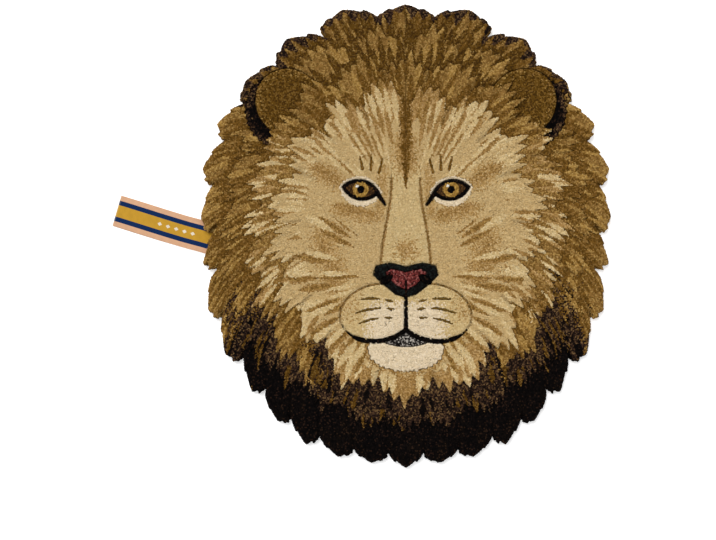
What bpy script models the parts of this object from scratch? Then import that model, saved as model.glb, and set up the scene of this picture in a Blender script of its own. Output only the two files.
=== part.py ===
"""A lion's-head rug of cut wool pile, lying flat, with a folded ribbon label sewn into its left edge.

Metres, +Z up. The origin is the middle of the rug's underside, which lies on Z = 0.
+Y runs to the top of the head and +X to its right-hand side as it is looked down on.
"""

import math

import bmesh
import bpy
import numpy as np
from mathutils import Matrix

# The rug, over the tips of its pile
RUG_WIDTH = 0.620
RUG_LENGTH = 0.700
RUG_HEIGHT = 0.015

# The ribbon label: two layers of one ribbon, joined by a fold at the outer end
RIBBON_WIDTH = 0.048
RIBBON_THICKNESS = 0.001
LAYER_GAP = 0.0006
LABEL_SHOWN = 0.145
LABEL_SEWN_IN = 0.025
LABEL_TILT = math.radians(16.4)
LABEL_EXIT = (-0.298, -0.003)  # where its centre line leaves the pile
FOLD_STEPS = 8

# What touches keeps this far apart
CLEARANCE = 0.0003
CUTTER_OVERRUN = 0.01

# The mane: locks of hair that grow from an oval hairline to an oval of tips,
# and droop towards the chin. Ovals are (half width, reach up, reach down).
MANE_CENTRE = (0.0, 0.015)
HAIRLINE = (0.150, 0.150, 0.222)
TIP_OVAL = (0.309, 0.333, 0.367)
OVAL_FULLNESS = 2.15
DROOP = 0.34
DROOP_POWER = 1.6

# The outermost row of locks, counted on one side of the head from crown to chin
LOCKS = 15
LOCK_DEPTH = 0.125  # notch depth as a share of the way from hairline to tip
LOCK_POINTEDNESS = 1.35

# The flames that each lock ends in. Places and half widths are shares of the lock's width,
# and the other two are shares of its depth.
FLAMES = (
    # place across the lock, short of the lock's tip, half width, steepness
    (0.0, 0.0, 0.50, 1.00),
    (-0.31, 0.34, 0.17, 0.50),
    (0.27, 0.26, 0.20, 0.50),
    (0.43, 0.58, 0.12, 0.40),
)

# Where the outline has its points on each lock: 0 is the tip, 0.5 the notch
LOCK_STATIONS = (-0.49, -0.43, -0.37, -0.31, -0.26, -0.21, -0.14, -0.07, 0.0)
LOCK_STATIONS += (0.06, 0.12, 0.17, 0.22, 0.27, 0.32, 0.37, 0.43, 0.49)

# The rug's edge from the floor up: the backing cloth sits in, the pile bulges and rounds over
EDGE = (
    # height, inset
    (0.0, 0.0050),
    (0.0035, 0.0028),
    (0.0085, 0.0),
    (0.0125, 0.0016),
    (RUG_HEIGHT, 0.0062),
)

PARTS = "lions_head_rug"
CUTTERS = "cutters"


def oval(angle, sizes):
    """The radius of an oval at angles counted from +Y."""
    half_width, up, down = sizes
    across, along = np.abs(np.sin(angle)), np.cos(angle)
    reach = np.where(along > 0, up, down)
    whole = (across / half_width) ** OVAL_FULLNESS + (np.abs(along) / reach) ** OVAL_FULLNESS
    return whole ** (-1 / OVAL_FULLNESS)


def lock_count(turn):
    """How many locks lie between the crown and this turn; they are a little uneven in width."""
    uneven = 0.17 * np.sin(3.0 * turn + 3.9) + 0.08 * np.sin(8.0 * turn)
    return LOCKS * turn / math.pi + uneven * np.sin(turn)


def flames(across, depth):
    """How far the edge falls short of a lock's tip, at places across the lock."""
    fall = np.ones(np.shape(across))
    for place, short, half_width, steepness in FLAMES:
        flame = short + steepness * (np.abs(across - place) / half_width) ** LOCK_POINTEDNESS
        fall = np.minimum(fall, depth * flame)
    return fall


def lock_share(count):
    """How far the edge lies from hairline (0) to tip oval (1), at this count of locks."""
    lock = np.round(count)
    depth = LOCK_DEPTH * (1 + 0.28 * np.sin(2.4 * lock + 3.6))
    shorter = 0.02 * (1 + np.sin(1.7 * lock + 3))
    return 1 - flames(count - lock, depth) - shorter


def right_half():
    """The edge of the head's right side from crown to chin, as points in the mane's own sizes."""
    dense = np.linspace(0, math.pi, 4001)
    wanted = [lock + station for lock in range(LOCKS + 1) for station in LOCK_STATIONS]
    counts = np.array([c for c in wanted if 0 <= c <= LOCKS])
    turn = np.interp(counts, lock_count(dense), dense)
    share = lock_share(counts)
    angle = turn + DROOP * np.sin(turn) * share**DROOP_POWER
    near = oval(angle, HAIRLINE)
    radius = near + share * (oval(angle, TIP_OVAL) - near)
    middle_x, middle_y = MANE_CENTRE
    return np.stack([middle_x + radius * np.sin(angle), middle_y + radius * np.cos(angle)], axis=1)


def rug_outline():
    """The whole edge, clockwise from the crown, and the mane's centre, both at the rug's real size."""
    right = right_half()
    left = right[-2:0:-1] * (-1, 1)
    edge = np.concatenate([right, left])
    low, high = edge.min(axis=0), edge.max(axis=0)
    scale = np.array([RUG_WIDTH, RUG_LENGTH]) / (high - low)
    middle = (low + high) / 2
    return (edge - middle) * scale, (np.array(MANE_CENTRE) - middle) * scale


def plain_material(name, colour, roughness):
    material = bpy.data.materials.new(name)
    material.use_nodes = True
    shader = material.node_tree.nodes["Principled BSDF"]
    shader.inputs["Base Color"].default_value = (*colour, 1.0)
    shader.inputs["Roughness"].default_value = roughness
    shader.inputs["Metallic"].default_value = 0.0
    material.diffuse_color = (*colour, 1.0)
    return material


def new_collection(name):
    collection = bpy.data.collections.new(name)
    bpy.context.scene.collection.children.link(collection)
    return collection


def build_rug(parts):
    """One flat solid: the outline's face, extruded up through the rows of the edge."""
    outline, centre = rug_outline()
    spokes = outline - centre
    lengths = np.linalg.norm(spokes, axis=1, keepdims=True)

    def row_of_points(height, inset):
        flat = centre + spokes * (1 - inset / lengths)
        return [(x, y, height) for x, y in flat]

    bm = bmesh.new()
    underside = [bm.verts.new(point) for point in row_of_points(*EDGE[0])]
    face = bm.faces.new(underside)
    for height, inset in EDGE[1:]:
        face = bmesh.ops.extrude_discrete_faces(bm, faces=[face])["faces"][0]
        points = row_of_points(height, inset)
        for vert, point in zip(face.verts, points, strict=True):
            vert.co = point
    bm.faces.new(underside)
    bmesh.ops.recalc_face_normals(bm, faces=bm.faces)
    mesh = bpy.data.meshes.new("rug")
    bm.to_mesh(mesh)
    bm.free()
    rug = bpy.data.objects.new("rug", mesh)
    rug.data.materials.append(plain_material("wool_pile", (0.27, 0.16, 0.045), 0.95))
    parts.objects.link(rug)
    return rug


def label_place():
    """Where the ribbon's sewn-in end lies: its +X runs out along the label."""
    out = math.pi - LABEL_TILT
    exit_x, exit_y = LABEL_EXIT
    start = (exit_x - LABEL_SEWN_IN * math.cos(out), exit_y - LABEL_SEWN_IN * math.sin(out), 0.0)
    return Matrix.Translation(start) @ Matrix.Rotation(out, 4, "Z")


def half_circle(middle_x, middle_z, radius, start, end):
    """Points round the fold, from one angle to another."""
    angles = np.linspace(math.radians(start), math.radians(end), FOLD_STEPS + 1)
    return [(middle_x + radius * math.cos(a), middle_z + radius * math.sin(a)) for a in angles]


def build_label(parts):
    """The folded ribbon's section, drawn on its side and extruded to the ribbon's width."""
    inner = LAYER_GAP / 2
    outer = inner + RIBBON_THICKNESS
    straight = LABEL_SEWN_IN + LABEL_SHOWN - outer
    section = [(0.0, 0.0)]
    section += half_circle(straight, outer, outer, -90, 90)
    section += [(0.0, 2 * outer), (0.0, 2 * outer - RIBBON_THICKNESS)]
    section += half_circle(straight, outer, inner, 90, -90)
    section += [(0.0, RIBBON_THICKNESS)]

    curve = bpy.data.curves.new("label", "CURVE")
    curve.dimensions = "2D"
    curve.fill_mode = "BOTH"
    curve.extrude = RIBBON_WIDTH / 2
    spline = curve.splines.new("POLY")
    spline.points.add(len(section) - 1)
    for point, (along, up) in zip(spline.points, section, strict=True):
        point.co = (along, up, 0.0, 1.0)
    spline.use_cyclic_u = True
    label = bpy.data.objects.new("label", curve)
    label.matrix_world = label_place() @ Matrix.Rotation(math.pi / 2, 4, "X")
    curve.materials.append(plain_material("woven_ribbon", (0.56, 0.33, 0.03), 0.6))
    parts.objects.link(label)
    return label


def cut_label_recess(rug, cutters):
    """A recess in the rug's underside, which the sewn-in end of the label fills."""
    high = LAYER_GAP + 2 * RIBBON_THICKNESS + CLEARANCE
    back = LABEL_SEWN_IN + CLEARANCE
    length = back + CUTTER_OVERRUN + LABEL_SEWN_IN
    size = (length, RIBBON_WIDTH + 2 * CLEARANCE, high + CUTTER_OVERRUN)
    middle = (length / 2 - CLEARANCE, 0.0, (high - CUTTER_OVERRUN) / 2)
    mesh = bpy.data.meshes.new("label_recess")
    bm = bmesh.new()
    bmesh.ops.create_cube(bm, size=1.0)
    bmesh.ops.scale(bm, vec=size, verts=bm.verts)
    bmesh.ops.translate(bm, vec=middle, verts=bm.verts)
    bm.to_mesh(mesh)
    bm.free()
    cutter = bpy.data.objects.new("label_recess", mesh)
    cutter.matrix_world = label_place()
    cutter.hide_render = True
    cutter.display_type = "WIRE"
    cutters.objects.link(cutter)
    cut = rug.modifiers.new("label_recess", "BOOLEAN")
    cut.operation = "DIFFERENCE"
    cut.object = cutter


def build_all():
    for leftover in list(bpy.data.objects):
        bpy.data.objects.remove(leftover)
    parts = new_collection(PARTS)
    cutters = new_collection(CUTTERS)
    rug = build_rug(parts)
    build_label(parts)
    cut_label_recess(rug, cutters)


build_all()
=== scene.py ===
"""The looks of a lion's-head rug: cut wool pile on a canvas backing, with a folded ribbon label.

Metres, +Z up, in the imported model's frame. The underside lies on Z = 0, +Y runs to the top of the
head and +X to its right-hand side as it is looked down on.
"""

import math

import bmesh
import bpy
import numpy as np
from mathutils import Matrix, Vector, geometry, kdtree


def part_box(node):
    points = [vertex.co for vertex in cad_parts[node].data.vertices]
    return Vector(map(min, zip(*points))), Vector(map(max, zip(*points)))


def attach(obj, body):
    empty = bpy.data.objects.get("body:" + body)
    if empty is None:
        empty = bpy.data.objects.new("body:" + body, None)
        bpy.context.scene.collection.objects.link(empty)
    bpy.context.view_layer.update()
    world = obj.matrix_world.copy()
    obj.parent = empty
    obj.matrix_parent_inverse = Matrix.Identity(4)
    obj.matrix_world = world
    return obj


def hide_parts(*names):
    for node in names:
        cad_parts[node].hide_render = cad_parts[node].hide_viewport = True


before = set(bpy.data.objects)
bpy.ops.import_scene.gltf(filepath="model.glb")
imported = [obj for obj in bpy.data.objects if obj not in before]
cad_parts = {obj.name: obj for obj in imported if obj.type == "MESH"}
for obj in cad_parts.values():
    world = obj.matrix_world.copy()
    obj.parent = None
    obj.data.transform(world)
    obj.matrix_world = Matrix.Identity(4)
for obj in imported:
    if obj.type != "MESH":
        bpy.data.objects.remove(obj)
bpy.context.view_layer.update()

MM = 0.001
RUG_LOW, RUG_HIGH = (np.array(corner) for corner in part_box("rug"))

# ---- Sizes of the pile ----

TUFT_SPACING = 2.15 * MM
TUFT_JITTER = 0.25  # of the spacing
TUFT_GIRTH, GIRTH_RANGE = 1.45 * MM, (0.86, 1.14)  # radius of a tuft's bloomed end
TUFT_UNEVEN, LEAST_RISE, FRAYED = 0.32 * MM, 2 * MM, 0.36 * MM
PILE_TOP = RUG_HIGH[2] - 1.2 * MM
PILE_DEPTH = 5.5 * MM  # from the tips down to the dense roots
ROOTED = 1.3 * MM
HAIR_LEAN, STRAY_LEAN = 0.16, 0.10  # sideways run for each unit of height
LINE_CLEAR = 1.05 * MM  # tufts stand at least this far off a line between two yarns
GROOVE_HALF = 0.6 * MM  # and this much further off a carved line
SPREAD_ROUNDS, STEPS_OFF_LINES, LONGEST_STEP, PROBE = 2, 3, 0.7 * MM, 0.15 * MM

# How the pile rounds over at the edge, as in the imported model
EDGE_INSETS = (0.0, 1.6 * MM, 6.2 * MM)
EDGE_HEIGHTS = (8.5 * MM, 12.5 * MM, RUG_HIGH[2])
ROOT_INSET = 6.5 * MM
FIRST_ROW_INSET = 1.0 * MM
RIM_ROWS = (
    # tip's inset and height, root's inset and height
    (0.7 * MM, 8.2 * MM, 5.8 * MM, 4.8 * MM),
    (0.9 * MM, 6.3 * MM, 6.0 * MM, 3.9 * MM),
    (1.5 * MM, 4.7 * MM, 6.2 * MM, 3.0 * MM),
    (2.3 * MM, 3.2 * MM, 6.4 * MM, 2.0 * MM),
)

# The backing: its side from the floor up, inside the tufts
BACKING_EDGE = (
    # height, inset
    (0.0, 5.0 * MM),
    (1.2 * MM, 4.6 * MM),
    (4.4 * MM, 4.6 * MM),
)
BACKING_TOP_INSET, BACKING_TOP_HEIGHT = 5.6 * MM, 5.8 * MM
BACKING_STEP, BACKING_SPACING, UNDERSIDE_SPACING = 2.6 * MM, 6.0 * MM, 24.0 * MM
CANVAS_EDGE = 1.3 * MM

# The ribbon label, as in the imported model
RIBBON_WIDTH = 48 * MM
RIBBON_THICKNESS = 0.55 * MM
LABEL_SHOWN, LABEL_SEWN_IN = 145 * MM, 25 * MM
LABEL_TILT = math.radians(16.4)
LABEL_EXIT = (-0.298, -0.003)
RECESS_HEIGHT, RECESS_CLEAR = 2.9 * MM, 0.3 * MM

# ---- The mane's frame, as the rug's outline has it ----

MANE_CENTRE = (0.0, 0.015)
HAIRLINE = (0.150, 0.150, 0.222)
TIP_OVAL = (0.309, 0.333, 0.367)
OVAL_FULLNESS = 2.15
DROOP, DROOP_POWER = 0.34, 1.6
HAIR_LENGTH = 0.16
OUTLINE_SAMPLES, OUTLINE_SPACING = 6000, 0.5 * MM
EDGE_LOCKS, EDGE_DEPTH, EDGE_POINTEDNESS = 15, 0.125, 1.35

# The flames that a lock ends in: place across it, short of its tip, half width, steepness
FLAMES = (
    (0.0, 0.0, 0.50, 1.00),
    (-0.31, 0.34, 0.17, 0.50),
    (0.27, 0.26, 0.20, 0.50),
    (0.43, 0.58, 0.12, 0.40),
)


def oval(angle, sizes):
    """The radius of an oval at angles counted from +Y."""
    half_width, up, down = sizes
    across, along = np.abs(np.sin(angle)), np.cos(angle)
    reach = np.where(along > 0, up, down)
    whole = (across / half_width) ** OVAL_FULLNESS + (np.abs(along) / reach) ** OVAL_FULLNESS
    return whole ** (-1 / OVAL_FULLNESS)


def mane_point(turn, share):
    """The point where a hair that grows at this turn from the crown has run this share of its way."""
    angle = turn + DROOP * np.sin(turn) * np.maximum(share, 0) ** DROOP_POWER
    near = oval(angle, HAIRLINE)
    radius = near + share * (oval(angle, TIP_OVAL) - near)
    return MANE_CENTRE[0] + radius * np.sin(angle), MANE_CENTRE[1] + radius * np.cos(angle)


def hair_place(x, y):
    """The turn and the share of points: mane_point the other way round, for both sides of the head."""
    from_x, from_y = np.abs(x - MANE_CENTRE[0]), y - MANE_CENTRE[1]
    angle = np.arctan2(from_x, from_y)
    near = oval(angle, HAIRLINE)
    share = (np.hypot(from_x, from_y) - near) / (oval(angle, TIP_OVAL) - near)
    turn = angle
    for _ in range(30):
        drooped = angle - DROOP * np.sin(turn) * np.maximum(share, 0) ** DROOP_POWER
        turn = (turn + drooped) / 2
    return turn, share


def flames(across, depth, pointedness):
    """How far the edge falls short of a lock's tip, at places across the lock."""
    fall = np.ones(np.shape(across))
    for place, short, half_width, steepness in FLAMES:
        flame = short + steepness * (np.abs(across - place) / half_width) ** pointedness
        fall = np.minimum(fall, depth * flame)
    return fall


def edge_count(turn):
    uneven = 0.17 * np.sin(3.0 * turn + 3.9) + 0.08 * np.sin(8.0 * turn)
    return EDGE_LOCKS * turn / math.pi + uneven * np.sin(turn)


def edge_share(count):
    lock = np.round(count)
    depth = EDGE_DEPTH * (1 + 0.28 * np.sin(2.4 * lock + 3.6))
    shorter = 0.02 * (1 + np.sin(1.7 * lock + 3))
    return 1 - flames(count - lock, depth, EDGE_POINTEDNESS) - shorter


def search_tree(places):
    tree = kdtree.KDTree(len(places))
    for index, (x, y) in enumerate(places):
        tree.insert((x, y, 0.0), index)
    tree.balance()
    return tree


def run_along(line):
    """How far along a line each of its points lies."""
    steps = np.linalg.norm(np.diff(line, axis=0), axis=1)
    return np.concatenate([[0], np.cumsum(steps)])


class Edge:
    """The rug's outline, and how the mane's own sizes fit the rug."""

    def __init__(self):
        turn = np.linspace(0, math.pi, OUTLINE_SAMPLES)
        right = np.stack(mane_point(turn, edge_share(edge_count(turn))), axis=1)
        line = np.concatenate([right, right[-2:0:-1] * (-1, 1)])
        low, high = line.min(axis=0), line.max(axis=0)
        self.middle = (low + high) / 2
        self.scale = (RUG_HIGH[:2] - RUG_LOW[:2]) / (high - low)
        self.centre = (np.array(MANE_CENTRE) - self.middle) * self.scale
        self.line = self.even((line - self.middle) * self.scale, OUTLINE_SPACING)
        self.tree = search_tree(self.line)
        ahead, behind = np.roll(self.line, -6, axis=0), np.roll(self.line, 6, axis=0)
        along = ahead - behind
        self.outward = np.stack([-along[:, 1], along[:, 0]], axis=1)
        self.outward /= np.linalg.norm(self.outward, axis=1, keepdims=True)

    @staticmethod
    def even(line, spacing):
        """The same closed line with its points evenly apart."""
        closed = np.concatenate([line, line[:1]])
        length = run_along(closed)
        wanted = np.linspace(0, length[-1], int(length[-1] / spacing), endpoint=False)
        return np.stack([np.interp(wanted, length, closed[:, k]) for k in (0, 1)], axis=1)

    def drawn(self, x, y):
        """Points of the rug in the mane's own sizes."""
        return x / self.scale[0] + self.middle[0], y / self.scale[1] + self.middle[1]

    def inset(self, x, y):
        """How far inside the edge points lie, and the way out at their nearest point of it."""
        found = [self.tree.find((a, b, 0.0)) for a, b in zip(x, y, strict=True)]
        nearest = np.array([index for _, index, _ in found])
        distance = np.array([gap for _, _, gap in found])
        turn, share = hair_place(*self.drawn(x, y))
        inside = share < edge_share(edge_count(turn))
        return np.where(inside, distance, -distance), self.outward[nearest]

    def drawn_in(self, inset):
        """The backing's outline: the rug's, pulled in towards the mane's centre."""
        spokes = self.even(self.line, BACKING_STEP) - self.centre
        lengths = np.linalg.norm(spokes, axis=1, keepdims=True)
        return self.centre + spokes * (1 - inset / lengths)


# ---- Small tools of the drawing ----


def dice(*keys):
    """A number from 0 to 1 for each set of keys, the same each time."""
    total = 0.0
    for step, key in enumerate(keys):
        total = total + np.asarray(key, float) * (12.9898 + 65.233 * step)
    return np.mod(np.sin(total) * 43758.5453, 1.0)


def ease(start, end, value):
    """0 up to start and 1 from end on, with a soft rise between them."""
    part = np.clip((value - start) / (end - start), 0, 1)
    return part * part * (3 - 2 * part)


def groove(distance, deep, wide):
    """How deep a carved groove is at a distance from its middle."""
    return deep * np.exp(-((distance / wide) ** 2))


def comb(turns, power):
    """The tooth of a comb at each place, and how high it is there, from 0 to 1."""
    tooth = np.floor(turns)
    return tooth, 1 - np.abs(2 * (turns - tooth) - 1) ** power


def turned(x, y, middle, tilt):
    """Places along and up a shape that is tilted by some degrees."""
    c, s = math.cos(math.radians(tilt)), math.sin(math.radians(tilt))
    return (x - middle[0]) * c + (y - middle[1]) * s, -(x - middle[0]) * s + (y - middle[1]) * c


def ellipse(x, y, middle, radii, tilt=0.0):
    """Distance from an ellipse, negative inside. tilt is in degrees."""
    along, up = turned(x, y, middle, tilt)
    a, b = along / radii[0], up / radii[1]
    ring = np.hypot(a, b)
    slope = np.hypot(a / radii[0], b / radii[1]) / np.maximum(ring, 1e-9)
    return (ring - 1) / np.maximum(slope, 1e-9)


def off_segment(x, y, start, end):
    """Distance from the straight line between two points, and how far along it, from 0 to 1."""
    (ax, ay), (bx, by) = start, end
    dx, dy = bx - ax, by - ay
    along = np.clip(((x - ax) * dx + (y - ay) * dy) / (dx * dx + dy * dy), 0, 1)
    return np.hypot(x - ax - dx * along, y - ay - dy * along), along


def stroke(x, y, points, widths):
    """Distance from a line through points, with a half width at each of them."""
    best = np.full(np.shape(x), 1.0)
    for k in range(len(points) - 1):
        gap, along = off_segment(x, y, points[k], points[k + 1])
        best = np.minimum(best, gap - (widths[k] + (widths[k + 1] - widths[k]) * along))
    return best


def panel(x, y, corners, rounded):
    """Distance from a shape with rounded corners, negative inside."""
    best = np.full(np.shape(x), 1.0)
    inside = np.zeros(np.shape(x), bool)
    for (ax, ay), (bx, by) in zip(corners, corners[1:] + corners[:1], strict=True):
        best = np.minimum(best, off_segment(x, y, (ax, ay), (bx, by))[0])
        if by != ay:
            inside ^= ((ay > y) != (by > y)) & (x < ax + (bx - ax) * (y - ay) / (by - ay))
    return np.where(inside, -best, best) - rounded


def strand_cell(across, along, seed):
    """The cell of (across, along) that each place lies in, which has room for one strand: its
    column, how far the column is shifted, its row, and one number from 0 to 1 for the cell."""
    column = np.floor(across)
    shift = 7 * dice(column, seed)
    row = np.floor(along + shift)
    return column, shift, row, dice(column, row, seed)


def strands(across, along, seed, fill, wide, chance, reach=(-99.0, 99.0)):
    """True on slim strands, pointed at both ends, at most one in each cell of (across, along).
    Only strands whose middle lies within reach are there. chance, a number from 0 to 1 for each
    tuft, makes their edges as uneven as hair."""
    column, shift, row, lot = strand_cell(across, along, seed)
    half = wide * (1 - (2 * (along + shift - row) - 1) ** 2) * (0.75 + 0.5 * chance)
    middle = row + 0.5 - shift
    there = (lot < fill) & (middle > reach[0]) & (middle < reach[1])
    return there & (np.abs(across - column - 0.5) < half)


def furred(x, y, distance, middle, points, longest, seed):
    """The same shape with its edge drawn out into points, as fur has."""
    turn = np.arctan2(y - middle[1], x - middle[0]) * points / (2 * math.pi)
    point, high = comb(turn, HAIR_POWER)
    return distance - longest * (0.15 + 0.85 * dice(point, seed)) * high


# ---- Yarns: each is spun of a few dyed wools, with a weight for each ----

YARNS = {
    "cream": (("E7D4B4", 5), ("E0CCAA", 3), ("ECDBBF", 2)),
    "flax": (("D8BF8C", 5), ("CDB07C", 3), ("E2CC9E", 2)),
    "face": (("CBAE7A", 5), ("C4A672", 3), ("D2B785", 2)),
    "bridge": (("D3B985", 5), ("CCB07C", 3), ("DAC392", 2)),
    "sand": (("BB9961", 4), ("AB8850", 3), ("C9A975", 3)),
    "fawn": (("A5814A", 4), ("94713C", 3), ("B7935D", 3)),
    "honey": (("B08B52", 4), ("9D7944", 3), ("C3A069", 3)),
    "gold": (("94703A", 4), ("7D5C2B", 3), ("AC894C", 3)),
    "straw": (("AA8545", 4), ("96733A", 3), ("BC9858", 3)),
    "brown": (("795622", 4), ("634618", 3), ("906C37", 2)),
    "bark": (("644616", 4), ("4D3411", 3), ("7C5C2B", 2)),
    "umber": (("49321B", 4), ("352314", 3), ("634524", 2)),
    "heather": (("1B110C", 4), ("33231A", 3), ("4E3826", 3), ("6F5536", 2)),
    "soot": (("0A0605", 6), ("130C08", 3), ("2E1F14", 1)),
    "ear": (("6A4B18", 4), ("4F360E", 3), ("826029", 3)),
    "black": (("060404", 6), ("110B09", 3), ("2A1B13", 1)),
    "amber": (("AC8540", 5), ("967032", 3), ("C09A50", 2)),
    "white": (("F1ECE0", 5), ("E3DCCB", 3)),
    "leather": (("131210", 5), ("1B201E", 3), ("080707", 3)),
    "red": (("7E3734", 4), ("562422", 3), ("9C5C56", 2), ("2E1513", 1)),
    "slate": (("3A3532", 4), ("8C857D", 3), ("BDB6AB", 2), ("141110", 3)),
    "olive": (("73592A", 5), ("614A20", 3)),
}
YARN_NAMES = list(YARNS)
SPUN_UNEVEN = 0.035  # how far one tuft's brightness strays from its yarn's
# Tufts in a carved groove are painted darker: painted shade for the shadow in the groove
PAINTED_GROOVE_SHADE, DEEPEST_GROOVE = 0.30, 4 * MM  # how much darker the deepest groove's tufts are

# Blends of the mane: ground yarn, light strands, dark strands, roots below the tier above
BLENDS = {
    "pale": ("face", "flax", "fawn", "fawn"),
    "wheat": ("honey", "flax", "fawn", "fawn"),
    "honey": ("honey", "flax", "gold", "gold"),
    "gold": ("gold", "straw", "brown", "brown"),
    "brown": ("gold", "straw", "bark", "bark"),
    "crest": ("brown", "gold", "bark", "bark"),
    "heather": ("heather", "bark", "soot", "heather"),
    "jet": ("black", "soot", "black", "black"),
}

# The tiers of locks, from the face outwards
TIERS = (
    # locks a side, reach, how much shorter at the chin, depth of the locks, strands a side,
    # and the blends at the crown, the side, the jaw and the chin
    (8.5, 0.33, 0.05, 0.24, 54, "honey", "pale", "pale", "wheat"),
    (11, 0.54, 0.07, 0.17, 66, "gold", "honey", "gold", "heather"),
    (12.5, 0.755, 0.19, 0.15, 80, "brown", "gold", "heather", "heather"),
    (EDGE_LOCKS, 1.0, 0.0, 0.0, 92, "crest", "gold", "heather", "jet"),
)
OUTERMOST = len(TIERS) - 1
TIER_POINTEDNESS = 1.18
TIER_RISE, TIER_GROOVE, TIER_GROOVE_HALF = 1.0 * MM, 2.4 * MM, 1.8 * MM
PARTING, PARTING_HALF = 2.8 * MM, 0.05  # between two locks; its half width is in locks
# The tips of single hairs along a tier's edge: how many to a strand, how long, how blunt
HAIR_POINTS, HAIR_POINT_LENGTH, HAIR_POWER = 0.9, 0.13, 1.2
# Light and dark strands: offset across, length, seed, fill and width
MANE_STRANDS = ((0.0, 0.30, 3, 0.50, 0.44), (0.5, 0.34, 11, 0.42, 0.40))
BAND_POINTS, BAND_POWER = 0.8, 1.4  # the points that the dark bands across the mane run out into
# One blend gives way to the next by whole strands: their width and length, and how far tufts stray
CHANGE_WIDTH, CHANGE_LENGTH, CHANGE_STRAY = 1.6, 0.22, 0.55
# Where each tier's blends give way to the next, as shares of the half turn from crown to chin
CHANGES = (
    ((0.10, 0.24), (0.58, 0.72), (0.74, 0.92)),
    ((0.22, 0.36), (0.56, 0.72), (0.70, 0.88)),
    ((0.24, 0.38), (0.54, 0.66), (0.66, 0.80)),
    ((0.18, 0.28), (0.53, 0.63), (0.58, 0.70)),
)

# The pieces of pile, in the order of Plan.piece
PILE_PIECES = (
    "pile_ruff",
    "pile_mane_inner",
    "pile_mane_middle",
    "pile_mane_outer",
    "pile_ears",
    "pile_face",
    "pile_eyes_and_muzzle",
)
EARS, FACE, FEATURES = 4, 5, 6

EAR, EAR_RADII, EAR_TILT = (0.172, 0.196), (0.049, 0.053), -40
EYE, EYE_TILT = (0.067, 0.066), 9
EYE_HALF_WIDE, EYE_HALF_HIGH = 28.5 * MM, 15.8 * MM
IRIS, PUPIL, GLINT = 11.8 * MM, 5.4 * MM, 2.4 * MM  # radii
BROW_MARKS = (
    ((0.040, 0.092), (0.035, 0.112)),
    ((0.052, 0.096), (0.051, 0.119)),
    ((0.064, 0.097), (0.068, 0.116)),
)

# Soft shading of the face by single tufts: middle, radii, tilt, how dense in the middle, yarn
FACE_SHADES = (
    ((0.0, -0.024), (0.030, 0.026), 0, 1.10, "sand"),
    ((0.0, -0.028), (0.022, 0.016), 0, 0.45, "fawn"),
    ((0.074, 0.032), (0.048, 0.021), 12, 1.40, "sand"),
    ((0.074, 0.036), (0.038, 0.012), 12, 0.80, "fawn"),
    ((0.114, 0.086), (0.042, 0.024), 32, 1.40, "sand"),
    ((0.118, 0.090), (0.032, 0.014), 32, 0.75, "fawn"),
    ((0.112, -0.045), (0.034, 0.075), -16, 1.30, "sand"),
    ((0.112, -0.050), (0.020, 0.055), -16, 0.60, "fawn"),
    ((0.036, 0.062), (0.014, 0.050), 4, 1.20, "sand"),
    ((0.0, 0.118), (0.034, 0.050), 0, 1.30, "sand"),
    ((0.0, 0.122), (0.022, 0.040), 0, 0.80, "fawn"),
)
WHISKER_ROWS = (
    # where a row's longer mark starts and ends, how high it starts, its slope
    (0.040, 0.066, -0.097, 0.10),
    (0.038, 0.074, -0.111, -0.02),
    (0.041, 0.069, -0.126, -0.14),
)
# Strands of the face, in fans: middle, first and last angle, strands a radian, where they start
# and end from the middle, their length, fill, width, offset, seed and yarn
FACE_FANS = (
    (-0.060, 0.45, 2.25, 9.5, (0.080, 0.165), 0.060, 0.78, 0.42, 0.0, 5, "fawn"),
    (-0.060, 0.45, 2.25, 9.5, (0.080, 0.165), 0.060, 0.78, 0.18, 0.0, 5, "gold"),
    (-0.060, 0.45, 2.25, 9.5, (0.085, 0.165), 0.054, 0.60, 0.34, 0.5, 6, "flax"),
    (0.020, 2.20, 3.20, 15.0, (0.088, 0.185), 0.056, 0.60, 0.38, 0.0, 8, "fawn"),
    (0.020, 2.20, 3.20, 15.0, (0.088, 0.185), 0.050, 0.45, 0.34, 0.5, 9, "flax"),
)


class Plan:
    """What is tufted at each place: the yarn, how high it stands, how deep it is carved, how near
    a line between two yarns is, and which piece of pile it is part of."""

    def __init__(self, x, y, chance):
        self.x, self.y, self.chance = x, y, chance
        self.yarn = np.zeros(np.shape(x), int)
        self.pile = np.zeros(np.shape(x))
        self.carve = np.zeros(np.shape(x))
        self.near = np.full(np.shape(x), 1.0)
        self.piece = np.zeros(np.shape(x), int)

    def lay(self, distance, yarn, pile=0.0, carve=0.0, wide=2.0 * MM, piece=None):
        """Covers a shape with a yarn, and carves a groove round it."""
        inside, deep = distance < 0, distance < -wide
        self.dye(inside, yarn)
        self.pile[inside] = pile
        if piece is not None:
            self.piece[inside] = piece
        self.carve[deep] = 0
        self.near[deep] = 1.0
        self.near = np.minimum(self.near, np.abs(distance) - (GROOVE_HALF if carve else 0))
        if carve:
            self.cut(groove(distance, carve, wide))

    def cut(self, depth):
        self.carve = np.maximum(self.carve, depth)

    def dye(self, where, yarn):
        self.yarn[where] = YARN_NAMES.index(yarn)

    def mix_in(self, where, share, yarn):
        """Gives a share of the tufts there another yarn."""
        self.dye(where & (self.chance < share), yarn)


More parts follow.
